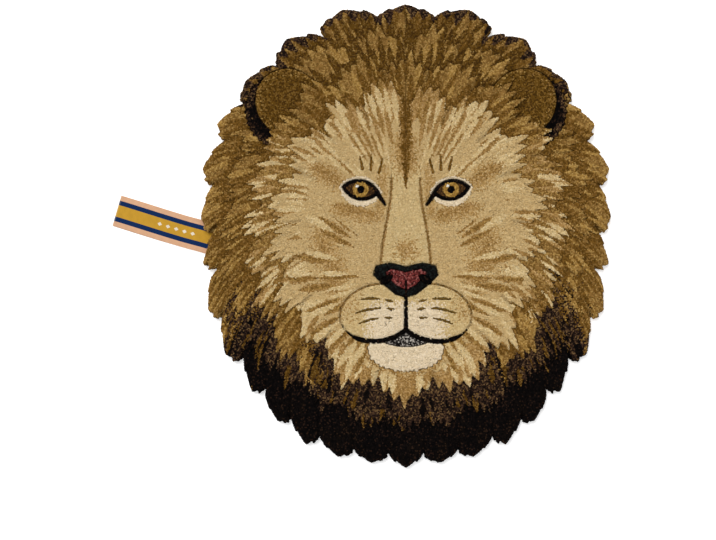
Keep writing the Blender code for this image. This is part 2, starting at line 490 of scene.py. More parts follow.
def tier_edge(turn, side, tier):
    """The share at which a tier of locks ends, and the count of locks there."""
    if tier == OUTERMOST:
        count = edge_count(turn)
        return edge_share(count), count
    locks, reach, chin, depth, columns = TIERS[tier][:5]
    start = 0.0 if tier % 2 else 0.5
    uneven = (0.17 * np.sin(3.0 * turn + 1.3 * tier) + 0.08 * np.sin(8.0 * turn)) * np.sin(turn)
    count = start + locks * turn / math.pi + uneven
    lock = np.round(count)
    shorter = 0.045 * dice(lock * side, tier)
    point, high = comb(columns * HAIR_POINTS * turn / math.pi * side, HAIR_POWER)
    longer = (0.2 + 0.8 * dice(point, tier)) * high
    shorter = shorter + chin * ease(0.62, 0.90, turn / math.pi)
    edge = reach - flames(count - lock, depth, TIER_POINTEDNESS) - shorter
    return edge + HAIR_POINT_LENGTH * longer, count


def mane(plan, turn, share):
    """The tiers, from the outermost in, each lying over the one outside it."""
    side = np.where(plan.x < 0, -1.0, 1.0)
    half_turns = turn / math.pi
    edges = [tier_edge(turn, side, tier) for tier in range(len(TIERS))]
    for tier in reversed(range(len(TIERS))):
        edge, count = edges[tier]
        inner = edges[tier - 1][0] if tier else np.full(np.shape(turn), -0.1)
        columns, *blends = TIERS[tier][4:]
        inside = share < edge
        across = columns * half_turns * side
        lights, darks = (
            strands(across + offset, share / length, seed + tier, fill, wide, plan.chance)
            for offset, length, seed, fill, wide in MANE_STRANDS
        )
        point, high = comb(across * BAND_POINTS, BAND_POWER)
        shadow = (0.05 + 0.17 * dice(point, tier)) * high + 0.03
        roots = (share - inner < shadow) & (tier > 0)
        lot = strand_cell(across / CHANGE_WIDTH, share / CHANGE_LENGTH, 21 + tier)[-1]
        lot = (lot + CHANGE_STRAY * plan.chance) / (1 + CHANGE_STRAY)
        passed = sum(lot < ease(*change, half_turns) for change in CHANGES[tier])
        for stage, blend in enumerate(blends):
            here = inside & (passed == stage)
            ground, light, dark, root = BLENDS[blend]
            plan.dye(here, ground)
            plan.dye(here & darks, dark)
            plan.dye(here & lights, light)
            plan.dye(here & roots, root)
        if tier == OUTERMOST:
            short = (edge - share) < (0.02 + 0.11 * dice(point, 9)) * high + 0.018
            plan.dye(inside & short & (passed == 0), "heather")
        plan.piece[inside] = tier
        between_locks = 0.5 - np.abs(count - np.round(count))
        parting = groove(between_locks, PARTING * ease(inner, edge, share), PARTING_HALF)
        plan.carve = np.where(inside, parting, plan.carve)
        distance = (share - edge) * HAIR_LENGTH
        plan.pile = np.where(inside, TIER_RISE * ease(-20 * MM, -4 * MM, distance), plan.pile)
        if tier < OUTERMOST:
            plan.cut(np.where(share > -0.2, groove(distance, TIER_GROOVE, TIER_GROOVE_HALF), 0))
            plan.near = np.where(distance < -2 * MM, 1.0, plan.near)
            plan.near = np.minimum(plan.near, np.abs(distance) * 0.8)
        if tier == OUTERMOST - 1:
            ears(plan)


def ears(plan):
    x, y = np.abs(plan.x), plan.y
    hollow = ellipse(x, y, (EAR[0] + 9 * MM, EAR[1] - 13 * MM), (54 * MM, 57 * MM), EAR_TILT)
    hollow = furred(x, y, hollow, EAR, 46, 4 * MM, 5)
    plan.lay(hollow, "black", -2 * MM, 1.5 * MM, piece=EARS)
    plan.mix_in(hollow < 0, 0.85 * ease(-13 * MM, -1 * MM, hollow), "heather")
    rim = ellipse(x, y, EAR, EAR_RADII, EAR_TILT)
    plan.lay(rim, "ear", -1 * MM, 2.4 * MM)
    plan.mix_in(rim < 0, 0.34 * ease(-18 * MM, -1 * MM, rim), "gold")
    plan.mix_in(rim < 0, 0.45 * ease(-10 * MM, -34 * MM, rim), "bark")
    plan.pile = np.where(rim < 0, -1 * MM - 2 * MM * ease(-4 * MM, -16 * MM, rim), plan.pile)


def face(plan, turn, share):
    x, y = np.abs(plan.x), plan.y
    teeth = 30 * turn / math.pi
    fringe = 0.07 * (1 - np.abs(2 * (teeth - np.round(teeth))) ** 1.1) - 0.02
    fringe = fringe + 0.03 * np.sin(9 * turn) * np.sin(turn)
    plan.lay((share - fringe) * HAIR_LENGTH, "face", piece=FACE)
    bridge(plan, x, y)
    face_hair(plan, x, y, share)
    eye(plan, x, y)
    muzzle(plan, x, y)
    nose(plan, x, y)


def bridge(plan, x, y):
    half = (0.021 + 0.016 * ease(0.08, -0.05, y)) * np.sqrt(ease(0.135, 0.095, y))
    plan.lay(np.maximum(x - half, -y - 0.055), "bridge", 0.8 * MM)
    side = np.abs(x - half)
    flank = (y < 0.085) & (y > -0.045)
    plan.dye((side < 2.4 * MM) & flank, "fawn")
    plan.cut(np.where(flank, groove(side, 2.0 * MM, 2 * MM), 0))


def face_hair(plan, x, y, share):
    inner = share < 0.2
    for middle, radii, tilt, dense, yarn in FACE_SHADES:
        rim = ellipse(x, y, middle, radii, tilt)
        plan.mix_in(inner & (rim < 0), dense * ease(0, -min(radii), rim), yarn)
    for middle, first, last, many, reach, length, fill, wide, offset, seed, yarn in FACE_FANS:
        fan, far = np.arctan2(x, middle - y), np.hypot(x, y - middle)
        within = (reach[0] / length, reach[1] / length)
        hairs = strands(fan * many + offset, far / length, seed, fill, wide, plan.chance, within)
        plan.dye(inner & (fan > first) & (fan < last) & hairs, yarn)
    # the brow's furrow runs down from the hairline
    half = 7.5 * MM * np.sqrt(ease(0.062, 0.150, y)) * (0.55 + 0.9 * plan.chance)
    plan.dye(inner & (x < half), "brown")
    plan.cut(np.where(y > 0.08, groove(x, 1.6 * MM, 2 * MM), 0))


def eye(plan, x, y):
    eye_x, eye_y = EYE
    for mark in BROW_MARKS:
        plan.lay(stroke(x, y, mark, (2.0 * MM, 1.2 * MM)), "brown")
    along, up = turned(x, y, EYE, EYE_TILT)
    lid = (EYE_HALF_WIDE**2 + EYE_HALF_HIGH**2) / (2 * EYE_HALF_HIGH)
    low, high = np.hypot(along, up + lid - EYE_HALF_HIGH), np.hypot(along, up - lid + EYE_HALF_HIGH)
    almond = np.maximum(low, high) - lid
    bulge = np.clip(1 - (along / (34 * MM)) ** 2, 0, 1)
    lashes = 2.6 * MM + 4.2 * MM * bulge * ease(0, -10 * MM, up) + 1.2 * MM * bulge
    lining = furred(x, y, almond - lashes, EYE, 34, 2.2 * MM, 3)
    plan.lay(lining, "cream", 0.5 * MM)
    corner = ((eye_x - 0.024, eye_y - 0.004), (eye_x - 0.036, eye_y - 0.022))
    tear = stroke(x, y, corner, (3.8 * MM, 1.8 * MM))
    plan.lay(np.minimum(almond, tear), "black", 0, 2.5 * MM, piece=FEATURES)
    plan.lay(almond + 5.2 * MM, "umber", 0.5 * MM)
    ball = np.hypot(along, up - 0.6 * MM)
    plan.lay(np.maximum(ball - IRIS, almond + 4.2 * MM), "amber", 1.0 * MM)
    plan.lay(ball - PUPIL, "black", 1.0 * MM)
    # both eyes have their glint on the same side, towards the light
    glint = np.hypot(plan.x - np.sign(plan.x) * eye_x + 5.2 * MM, y - eye_y - 5.6 * MM)
    plan.lay(glint - GLINT, "white", 1.2 * MM)


def muzzle(plan, x, y):
    pad = ellipse(x, y, (0.041, -0.117), (0.056, 0.041), -12)
    chin = furred(x, y, ellipse(x, y, (0, -0.172), (0.055, 0.032)), (0, -0.165), 40, 4 * MM, 2)
    plan.mix_in(chin < 9 * MM, 0.8 * ease(9 * MM, 0, chin), "fawn")
    plan.lay(chin, "cream", 0.8 * MM, 1.2 * MM, piece=FEATURES)
    plan.lay(pad, "cream", 1.0 * MM, 1.6 * MM, piece=FEATURES)
    plan.mix_in(pad < -1 * MM, 1.15 * (ease(-0.114, -0.088, y) + ease(0.042, 0.076, x)), "bridge")
    plan.mix_in(pad < -1 * MM, 0.6 * ease(0.055, 0.090, x) * ease(-0.145, -0.110, y), "sand")
    plan.dye((np.abs(pad) < 1.6 * MM) & (y > -0.13), "fawn")
    for start, end, high, slope in WHISKER_ROWS:
        for near, far in ((start - 20 * MM, start - 10 * MM), (start, end)):
            places = np.linspace(near, far, 5)
            line = [(u, high + slope * (u - start) - 5 * (u - start) ** 2) for u in places]
            mark = stroke(x, y, line, (1.0 * MM, 1.7 * MM, 1.9 * MM, 1.6 * MM, 0.9 * MM))
            plan.lay(mark, "olive", 0.8 * MM)
    opening = ellipse(x, y, (0, -0.149), (0.043, 0.0195))
    opening = np.maximum(np.maximum(4.4 * MM - pad, opening), y + 0.135)
    plan.lay(opening, "slate", -1 * MM, 1.5 * MM, piece=FEATURES)
    lip = np.abs(pad - 1.6 * MM) - 3.2 * MM * np.minimum(ease(0.096, 0.066, x), ease(-0.11, -0.13, y))
    middle = stroke(x, y, ((0, -0.094), (0, -0.143)), (2.4 * MM, 2.9 * MM))
    plan.lay(np.minimum(lip, middle), "black", -0.5 * MM, 2 * MM, piece=FEATURES)


def nose(plan, x, y):
    leather = panel(x, y, ((-0.001, -0.052), (0.024, -0.046), (0.042, -0.050), (0.045, -0.060),
                           (0.032, -0.073), (0.013, -0.088), (-0.001, -0.092)), 3.2 * MM)
    plan.lay(leather, "leather", 1.0 * MM, 3.0 * MM, piece=FEATURES)
    middle = panel(x, y, ((-0.001, -0.058), (0.022, -0.053), (0.030, -0.058), (0.016, -0.074),
                          (-0.001, -0.084)), 1.0 * MM)
    plan.lay(middle, "red", 1.4 * MM, 1.0 * MM)
    plan.lay(ellipse(x, y, (0.029, -0.068), (0.011, 0.0055), -35), "black", -1 * MM, 2.0 * MM)
    plan.lay(stroke(x, y, ((0, -0.070), (0, -0.097)), (1.5 * MM, 1.5 * MM)), "black", 0)


def drawing(edge, x, y, chance):
    """The whole plan at points of the rug. chance has one number from 0 to 1 for each of them."""
    x, y = edge.drawn(x, y)
    plan = Plan(x, y, chance)
    turn, share = hair_place(x, y)
    mane(plan, turn, share)
    face(plan, turn, share)
    plan.hair_x, plan.hair_y = hair_way(x, y, turn, share)
    return plan


def hair_way(x, y, turn, share):
    """The way that the pile is brushed: out along the mane's hairs, and away from the nose."""
    far_x, far_y = mane_point(turn, share + 0.02)
    near_x, near_y = mane_point(turn, share - 0.02)
    side = np.where(x < 0, -1.0, 1.0)
    mane_x, mane_y = side * (far_x - near_x), far_y - near_y
    face_x, face_y = x, y + 0.060
    length, far = np.hypot(mane_x, mane_y), np.hypot(face_x, face_y) + 1e-6
    blend = ease(-0.2, 0.1, share)
    way_x = blend * mane_x / length + (1 - blend) * face_x / far
    way_y = blend * mane_y / length + (1 - blend) * face_y / far
    length = np.hypot(way_x, way_y) + 1e-6
    return way_x / length, way_y / length


# ---- Planting the tufts ----


def linear(hexed):
    """The linear colour of six hex digits."""
    shown = np.array([int(hexed[k : k + 2], 16) / 255 for k in (0, 2, 4)])
    return np.where(shown < 0.04045, shown / 12.92, ((shown + 0.055) / 1.055) ** 2.4)


def rumpled(x, y):
    """The slow unevenness of a sheared pile, from -1 to 1."""
    slow = np.sin(38 * x + 5 * np.sin(21 * y)) * np.sin(33 * y + 4 * np.sin(17 * x))
    return 0.6 * slow + 0.4 * np.sin(95 * x + 40 * y) * np.sin(88 * y - 30 * x)


def edge_height(inset):
    return np.interp(inset, EDGE_INSETS, EDGE_HEIGHTS) - RUG_HIGH[2]


def root_height(inset, pile):
    """The top of the dense roots."""
    rounding = (PILE_TOP - PILE_DEPTH - BACKING_TOP_HEIGHT) * ease(12 * MM, BACKING_TOP_INSET, inset)
    return PILE_TOP - PILE_DEPTH - rounding + pile


def hex_grid(low, high, spacing):
    row_gap = spacing * math.sqrt(3) / 2
    rows = np.arange(low[1], high[1], row_gap)
    columns = np.arange(low[0], high[0], spacing)
    x, y = np.meshgrid(columns, rows)
    x = x + (np.arange(len(rows)) % 2)[:, None] * spacing / 2
    return x.ravel(), y.ravel()


def spread(x, y):
    """Moves tufts that stand too close to each other apart."""
    for _ in range(SPREAD_ROUNDS):
        tree = search_tree(np.column_stack([x, y]))
        found = [tree.find_n((a, b, 0.0), 7) for a, b in zip(x, y, strict=True)]
        others = np.array([[index for _, index, _ in hits] for hits in found])[:, 1:]
        from_x, from_y = x[:, None] - x[others], y[:, None] - y[others]
        gap = np.maximum(np.hypot(from_x, from_y), 0.1 * MM)
        push = 0.5 * np.maximum(TUFT_SPACING - gap, 0) / gap
        x, y = x + (push * from_x).sum(axis=1) * 0.7, y + (push * from_y).sum(axis=1) * 0.7
    return x, y


def off_the_lines(edge, x, y, chance):
    """Moves tufts that would stand on a line between two yarns to its near side."""
    for _ in range(STEPS_OFF_LINES):
        near = drawing(edge, x, y, chance).near
        close = near < LINE_CLEAR
        here_x, here_y, here_chance = x[close], y[close], chance[close]
        ahead_x, behind_x, ahead_y, behind_y = (
            drawing(edge, here_x + step_x, here_y + step_y, here_chance).near
            for step_x, step_y in ((PROBE, 0), (-PROBE, 0), (0, PROBE), (0, -PROBE))
        )
        slope_x, slope_y = (ahead_x - behind_x) / (2 * PROBE), (ahead_y - behind_y) / (2 * PROBE)
        slope = np.hypot(slope_x, slope_y)
        one_line = (slope > 0.4) & (slope < 1.5)
        move = np.minimum((LINE_CLEAR - near[close]) / np.maximum(slope, 0.4), LONGEST_STEP)
        move = np.where(one_line, move, 0) / np.maximum(slope, 0.4)
        x[close] += move * slope_x
        y[close] += move * slope_y
    return x, y


def field_tufts(edge, rng):
    """Tips and roots of the tufts all over the rug, and their plan."""
    x, y = hex_grid(RUG_LOW, RUG_HIGH, TUFT_SPACING)
    x = x + rng.uniform(-TUFT_JITTER, TUFT_JITTER, len(x)) * TUFT_SPACING
    y = y + rng.uniform(-TUFT_JITTER, TUFT_JITTER, len(y)) * TUFT_SPACING
    inset, _ = edge.inset(x, y)
    kept = inset > FIRST_ROW_INSET
    x, y = spread(x[kept], y[kept])
    chance = rng.random(len(x))
    x, y = off_the_lines(edge, x, y, chance)
    inset, outward = edge.inset(x, y)
    drift = np.maximum(FIRST_ROW_INSET - inset, 0)
    x, y = x - drift * outward[:, 0], y - drift * outward[:, 1]
    inset = inset + drift
    plan = drawing(edge, x, y, chance)
    uneven = TUFT_UNEVEN * (rng.normal(0, 0.7, len(x)) + rumpled(x, y))
    tip_z = PILE_TOP + edge_height(inset) + plan.pile - plan.carve + uneven
    root_z = root_height(np.maximum(inset, ROOT_INSET), plan.pile) - ROOTED
    tip_z = np.maximum(tip_z, root_z + LEAST_RISE)
    rise = tip_z - root_z
    stray = rng.uniform(0, 2 * math.pi, len(x))
    lean_x = HAIR_LEAN * plan.hair_x + STRAY_LEAN * np.cos(stray)
    lean_y = HAIR_LEAN * plan.hair_y + STRAY_LEAN * np.sin(stray)
    out = np.maximum(ROOT_INSET - inset, 0)[:, None] * outward
    root = np.stack([x - rise * lean_x - out[:, 0], y - rise * lean_y - out[:, 1], root_z], axis=1)
    return np.stack([x, y, tip_z], axis=1), root, plan


def rim_tufts(edge, rng):
    """Low tufts that lean out all round and hide the backing's side."""
    tips, roots = [], []
    for tip_inset, tip_z, root_inset, root_z in RIM_ROWS:
        step = round(TUFT_SPACING / OUTLINE_SPACING)
        start = rng.integers(step)
        line, outward = edge.line[start::step], edge.outward[start::step]
        uneven = rng.normal(0, 0.3 * MM, (len(line), 1))
        tip = line - outward * (tip_inset + uneven)
        root = line - outward * root_inset
        tips.append(np.column_stack([tip, tip_z + rng.normal(0, 0.4 * MM, len(line))]))
        roots.append(np.column_stack([root, np.full(len(line), root_z)]))
    tip, root = np.concatenate(tips), np.concatenate(roots)
    place = 2 * root - tip
    plan = drawing(edge, place[:, 0], place[:, 1], rng.random(len(tip)))
    plan.carve *= 0.3
    return tip, root, plan


def spun(yarn, carve, rng):
    """The colour of each tuft, with painted shade on the tufts down in carved grooves."""
    pick, colour = rng.random(len(yarn)), np.zeros((len(yarn), 4))
    for index, name in enumerate(YARN_NAMES):
        wools, weights = zip(*YARNS[name], strict=True)
        shares = np.cumsum(weights) / sum(weights)
        chosen = np.minimum(np.searchsorted(shares, pick), len(wools) - 1)
        here = yarn == index
        colour[here, :3] = np.array([linear(wool) for wool in wools])[chosen[here]]
    bright = 1 + rng.normal(0, SPUN_UNEVEN, len(yarn))
    # painted shade: tufts down in a carved groove are darkened as if in its shadow
    shade = 1 - PAINTED_GROOVE_SHADE * np.clip(carve / DEEPEST_GROOVE, 0, 1)
    colour[:, :3] *= (bright * shade)[:, None]
    colour[:, 3] = 1.0
    return colour


class Tufts:
    """Every tuft of the rug, as arrays with a row for each."""

    def __init__(self, edge):
        rng = np.random.default_rng(7)
        field, rim = field_tufts(edge, rng), rim_tufts(edge, rng)
        self.tip = np.concatenate([field[0], rim[0]])
        self.root = np.concatenate([field[1], rim[1]])
        self.piece = np.concatenate([field[2].piece, rim[2].piece])
        yarn = np.concatenate([field[2].yarn, rim[2].yarn])
        carve = np.concatenate([field[2].carve, rim[2].carve])
        self.colour = spun(yarn, carve, rng)
        self.girth = TUFT_GIRTH * rng.uniform(*GIRTH_RANGE, len(yarn))
        self.spin = rng.uniform(0, 2 * math.pi, len(yarn))


# ---- Nodes written as expressions ----


class Wire:
    """What comes out of a node. Sums of wires and numbers add Math nodes."""

    def __init__(self, nodes, socket):
        self.nodes, self.socket = nodes, socket

    def maths(self, operation, *values, **settings):
        settings["operation"] = operation
        return self.nodes.add("ShaderNodeMath", settings, dict(enumerate(values)))

    def __add__(self, other):
        return self.maths("ADD", self, other)

    def __sub__(self, other):
        return self.maths("SUBTRACT", self, other)

    def __rsub__(self, other):
        return self.maths("SUBTRACT", other, self)

    def __mul__(self, other):
        return self.maths("MULTIPLY", self, other)

    def __truediv__(self, other):
        return self.maths("DIVIDE", self, other)

    def __pow__(self, other):
        return self.maths("POWER", self, other)

    def __lt__(self, other):
        return self.maths("LESS_THAN", self, other)

    def __gt__(self, other):
        return self.maths("GREATER_THAN", self, other)

    def __abs__(self):
        return self.maths("ABSOLUTE", self)

    __radd__, __rmul__ = __add__, __mul__

    def wave(self, length):
        """From -1 to 1 and back, once in each length."""
        return self.maths("SINE", self * (2 * math.pi / length))

    def part(self):
        """What follows the decimal point."""
        return self.maths("FRACT", self)


class Nodes:
    """A node tree, filled one node at a time."""

    def __init__(self, tree):
        self.tree = tree
        tree.nodes.clear()

    def add(self, kind, settings, sockets, out=0):
        """One node: its settings, then the values and links of its sockets."""
        node = self.tree.nodes.new(kind)
        for name, value in settings.items():
            if name == "stops":
                self.set_stops(node.color_ramp, value)
            else:
                setattr(node, name, value)
        for name, value in sockets.items():
            if isinstance(value, Wire):
                self.tree.links.new(value.socket, node.inputs[name])
            else:
                node.inputs[name].default_value = value
        return Wire(self, node.outputs[out]) if node.outputs else None

    @staticmethod
    def set_stops(ramp, stops):
        ramp.interpolation = "CONSTANT"
        while len(ramp.elements) < len(stops):
            ramp.elements.new(1.0)
        for element, (place, colour) in zip(ramp.elements, stops, strict=True):
            element.position = place
            element.color = (*linear(colour), 1.0)

    def noise(self, place, size, detail=2.0):
        """Noise with grains about this size, in metres."""
        return self.add("ShaderNodeTexNoise", {}, {"Vector": place, "Scale": 1 / size, "Detail": detail})

    def shaded(self, colour, shade):
        return self.add("ShaderNodeVectorMath", {"operation": "SCALE"}, {0: colour, "Scale": shade})

    def dyed(self, colour, share, hexed):
        """A share of another colour over this one."""
        sockets = {0: share, 6: colour, 7: (*linear(hexed), 1.0)}
        return self.add("ShaderNodeMix", {"data_type": "RGBA"}, sockets, 2)

    def bump(self, height, strength, distance):
        sockets = {"Strength": strength, "Distance": distance, "Height": height}
        return self.add("ShaderNodeBump", {}, sockets)

    def x_and_y(self, place):
        return [self.add("ShaderNodeSeparateXYZ", {}, {"Vector": place}, axis) for axis in "XY"]

    def surface(self, **sockets):
        """The Principled BSDF of a cloth, and the material's output."""
        values = {name.replace("_", " "): value for name, value in sockets.items()}
        shader = self.add("ShaderNodeBsdfPrincipled", {}, values)
        self.add("ShaderNodeOutputMaterial", {}, {"Surface": shader})


def material(name):
    made = bpy.data.materials.new(name)
    made.use_nodes = True
    return made, Nodes(made.node_tree)


def wool_pile():
    """Cut wool: each tuft in its own yarn, with painted shade darker down its side between the tufts,
    and fine loose fibres.
    """
    made, nodes = material("wool_pile")
    yarn = nodes.add("ShaderNodeAttribute", {"attribute_name": "yarn"}, {}, "Color")
    tip = nodes.add("ShaderNodeAttribute", {"attribute_name": "tip"}, {}, "Fac")
    place = nodes.add("ShaderNodeTexCoord", {}, {}, "Object")
    fibres = nodes.noise(place, 0.26 * MM, 3.0)
    clumps = nodes.noise(place, 1.6 * MM)
    # 0.58 + 0.42 * tip**2 is painted shade, darker down towards the roots; the two noises are the wool's
    # fibres and clumps
    shade = (0.58 + 0.42 * tip**2) * (0.54 + 0.66 * fibres + 0.26 * clumps)
    nodes.surface(
        Base_Color=nodes.shaded(yarn, shade), Roughness=0.95, Specular_IOR_Level=0.02,
        Sheen_Weight=0.01, Sheen_Roughness=0.6, Normal=nodes.bump(fibres, 1.0, 0.5 * MM),
    )
    return made


def canvas():
    """The plain-woven cotton that closes the underside."""
    made, nodes = material("cotton_canvas")
    place = nodes.add("ShaderNodeTexCoord", {}, {}, "Object")
    x, y = nodes.x_and_y(place)
    weave = 0.5 + 0.5 * (x.wave(CANVAS_THREAD) * y.wave(CANVAS_THREAD))
    slubs = nodes.noise(place, 12 * MM, 4.0)
    shade = 0.78 + 0.14 * weave + 0.16 * slubs
    rough = nodes.bump(weave, 0.7, 0.5 * MM)
    nodes.surface(Base_Color=nodes.shaded(linear("CFC3A8"), shade), Roughness=0.9, Normal=rough)
    return made


CANVAS_THREAD, RIB, WARP_END = 1.5 * MM, 0.8 * MM, 0.55 * MM
# The ribbon's stripes, from one selvedge to the other: where each starts, in metres, and its colour
STRIPES = (
    (0.0, "CC9F7D"),
    (8 * MM, "04244F"),
    (15 * MM, "B98C2B"),
    (33 * MM, "04244F"),
    (40 * MM, "CC9F7D"),
)
# The woven diamonds stand in one row on the upper layer. Places run along the ribbon from its lower end.
DIAMONDS_FROM, DIAMONDS_TO = 232 * MM, 297 * MM
DIAMOND_SPACING, DIAMOND_LENGTH, DIAMOND_WIDTH = 13 * MM, 3.6 * MM, 2.9 * MM
# At the fold the ribbon is paler: partly crease wear, partly a painted highlight on the fold's curve
FOLD_PLACE, FOLD_WEAR_AND_HIGHLIGHT = 170 * MM, 3.2 * MM
# Two rows of stitches hold the sewn-in end: how far apart they are, where they stop, the stitches
SEAM_SPACING, SEAM_END, STITCH_LENGTH, STITCH_HALF = 8 * MM, 18 * MM, 3.4 * MM, 0.4 * MM
STITCHED = 0.72  # how much of each stitch's length shows


def woven_ribbon():
    """Striped ribbon with a row of small woven diamonds. Its map runs in metres."""
    made, nodes = material("woven_ribbon")
    place = nodes.add("ShaderNodeUVMap", {"uv_map": "ribbon"}, {})
    across, along = nodes.x_and_y(place)
    stops = [(start / RIBBON_WIDTH, colour) for start, colour in STRIPES]
    stripes = nodes.add("ShaderNodeValToRGB", {"stops": stops}, {"Fac": across / RIBBON_WIDTH})
    rib, end = along.wave(RIB), across.wave(WARP_END)
    from_diamond = abs(((along - DIAMONDS_FROM) / DIAMOND_SPACING).part() - 0.5)
    reach = abs(across - RIBBON_WIDTH / 2) / DIAMOND_WIDTH
    reach = reach + from_diamond * (DIAMOND_SPACING / DIAMOND_LENGTH)
    diamond = (reach < 1.0) * (along > DIAMONDS_FROM) * (along < DIAMONDS_TO)
    worn_and_lit = along.maths("SUBTRACT", 1.0, abs(along - FOLD_PLACE) / FOLD_WEAR_AND_HIGHLIGHT, use_clamp=True)
    from_seam = abs(((along - SEAM_END) / SEAM_SPACING).part() - 0.5)
    dash = (across / STITCH_LENGTH).part()
    stitched = (from_seam < STITCH_HALF / SEAM_SPACING) * (dash < STITCHED) * (along < SEAM_END)
    colour = nodes.dyed(stripes, 0.9 * diamond, "DDD5C4")
    # painted highlight and wear: a paler band across the fold
    colour = nodes.dyed(colour, 0.30 * worn_and_lit, "D8CBB4")
    colour = nodes.dyed(colour, 0.95 * stitched, "EFE6D2")
    cloudy = nodes.noise(place, 9 * MM, 3.0)
    shade = 0.80 + 0.05 * rib + 0.04 * end + 0.30 * cloudy
    height = 0.5 + 0.3 * rib + 0.2 * end + 1.5 * stitched
    nodes.surface(
        Base_Color=nodes.shaded(colour, shade), Roughness=0.6, Specular_IOR_Level=0.08,
        Sheen_Weight=0.03, Sheen_Roughness=0.4, Normal=nodes.bump(height, 0.6, 0.12 * MM),
    )
    return made


# ---- The pile ----


TUFT_SIDES = 5
BLOOM_HEIGHT = 0.88  # where a tuft is widest, as a share of its height
BLOOM_ON_MAP, ROOT_ON_MAP = 0.55 * MM, 1.05 * MM  # how far from its tip these lie on the map


def new_object(name, data):
    made = bpy.data.objects.new(name, data)
    bpy.context.scene.collection.objects.link(made)
    return made


def object_from(bm, name):
    mesh = bpy.data.meshes.new(name)
    bm.to_mesh(mesh)
    bm.free()
    return new_object(name, mesh)


def tuft_shape():
    """One tuft, one unit high and wide: it widens from its stitch up and ends in a low dome."""
    bm = bmesh.new()
    tip = bm.verts.layers.float.new("tip")
    root = bm.verts.new((0.0, 0.0, 0.0))
    turns = [2 * math.pi * k / TUFT_SIDES for k in range(TUFT_SIDES)]
    bloom = [bm.verts.new((math.cos(t), math.sin(t), BLOOM_HEIGHT)) for t in turns]
    top = bm.verts.new((0.0, 0.0, 1.0))
    for k in range(TUFT_SIDES):
        after = (k + 1) % TUFT_SIDES
        bm.faces.new((root, bloom[after], bloom[k]))
        bm.faces.new((bloom[k], bloom[after], top))
    for vert in bm.verts:
        vert[tip] = vert.co.z
    return object_from(bm, "tuft")


def pile_tree():
    """Geometry nodes that stand a tuft on every point of a mesh, from root to tip."""
    tree = bpy.data.node_groups.new("cut_pile", "GeometryNodeTree")
    nodes = Nodes(tree)
    for name, kind in (
        ("Geometry", "NodeSocketGeometry"), ("Tuft", "NodeSocketObject"),
        ("Frayed", "NodeSocketFloat"), ("Seed", "NodeSocketInt"), ("Wool", "NodeSocketMaterial"),
    ):
        tree.interface.new_socket(name, in_out="INPUT", socket_type=kind)
    tree.interface.new_socket("Geometry", in_out="OUTPUT", socket_type="NodeSocketGeometry")
    asked = tree.nodes.new("NodeGroupInput").outputs

    def given(name, kind):
        return nodes.add("GeometryNodeInputNamedAttribute", {"data_type": kind}, {"Name": name})

    rise, girth = given("rise", "FLOAT_VECTOR"), given("girth", "FLOAT")
    length = nodes.add("ShaderNodeVectorMath", {"operation": "LENGTH"}, {0: rise}, "Value")
    size = nodes.add("ShaderNodeCombineXYZ", {}, {"X": girth, "Y": girth, "Z": length})
    upright = nodes.add("FunctionNodeAlignRotationToVector", {"axis": "Z"}, {"Vector": rise})
    spin = nodes.add("FunctionNodeAxisAngleToRotation", {},
                     {"Axis": (0, 0, 1), "Angle": given("spin", "FLOAT")})
    stance = nodes.add("FunctionNodeRotateRotation", {"rotation_space": "LOCAL"},
                       {"Rotation": upright, "Rotate By": spin})
    tuft = nodes.add("GeometryNodeObjectInfo", {}, {"Object": Wire(nodes, asked["Tuft"])}, "Geometry")
    planted = nodes.add("GeometryNodeInstanceOnPoints", {}, {
        "Points": Wire(nodes, asked["Geometry"]), "Instance": tuft, "Rotation": stance, "Scale": size})
    real = nodes.add("GeometryNodeRealizeInstances", {}, {"Geometry": planted})
    frayed = Wire(nodes, asked["Frayed"])
    stray = nodes.add("FunctionNodeRandomValue", {"data_type": "FLOAT_VECTOR"},
                      {0: (-1, -1, -1), 1: (1, 1, 1), "Seed": Wire(nodes, asked["Seed"])})
    loose = nodes.add("GeometryNodeSetPosition", {}, {
        "Geometry": real, "Selection": given("tip", "FLOAT") > 0.5,
        "Offset": nodes.shaded(stray, frayed)})
    soft = nodes.add("GeometryNodeSetShadeSmooth", {}, {"Geometry": loose})
    finished = nodes.add("GeometryNodeSetMaterial", {},
                         {"Geometry": soft, "Material": Wire(nodes, asked["Wool"])})
    nodes.add("NodeGroupOutput", {}, {"Geometry": finished})
    return tree


def set_input(modifier, name, value):
    """Sets a modifier's input by its socket's identifier."""
    for item in modifier.node_group.interface.items_tree:
        if item.item_type == "SOCKET" and item.in_out == "INPUT" and item.name == name:
            modifier[item.identifier] = value


def plain(made):
    """Turns an object's evaluated shape into its own mesh, and drops its modifiers."""
    depsgraph = bpy.context.evaluated_depsgraph_get()
    evaluated = made.evaluated_get(depsgraph)
    mesh = bpy.data.meshes.new_from_object(evaluated, preserve_all_data_layers=True, depsgraph=depsgraph)
    made.modifiers.clear()
    made.data = mesh
    mesh.name = made.name


def grow(name, tufts, here, tree, tuft, wool):
    """One piece of pile, from the tufts at these rows."""
    points = bpy.data.meshes.new(name)
    points.from_pydata(tufts.root[here].tolist(), [], [])
    for attribute, kind, field, values in (
        ("yarn", "FLOAT_COLOR", "color", tufts.colour[here]),
        ("rise", "FLOAT_VECTOR", "vector", tufts.tip[here] - tufts.root[here]),
        ("girth", "FLOAT", "value", tufts.girth[here]),
        ("spin", "FLOAT", "value", tufts.spin[here]),
    ):
        made = points.attributes.new(attribute, kind, "POINT")
        made.data.foreach_set(field, np.asarray(values, np.float32).ravel())
    piece = new_object(name, points)
    modifier = piece.modifiers.new("pile", "NODES")
    modifier.node_group = tree
    for socket, value in (("Tuft", tuft), ("Frayed", FRAYED), ("Seed", 3), ("Wool", wool)):
        set_input(modifier, socket, value)
    plain(piece)
    for attribute in ("rise", "girth", "spin"):
        piece.data.attributes.remove(piece.data.attributes[attribute])
    map_tufts(piece.data, tufts, here)
    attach(piece, "root")
    return piece


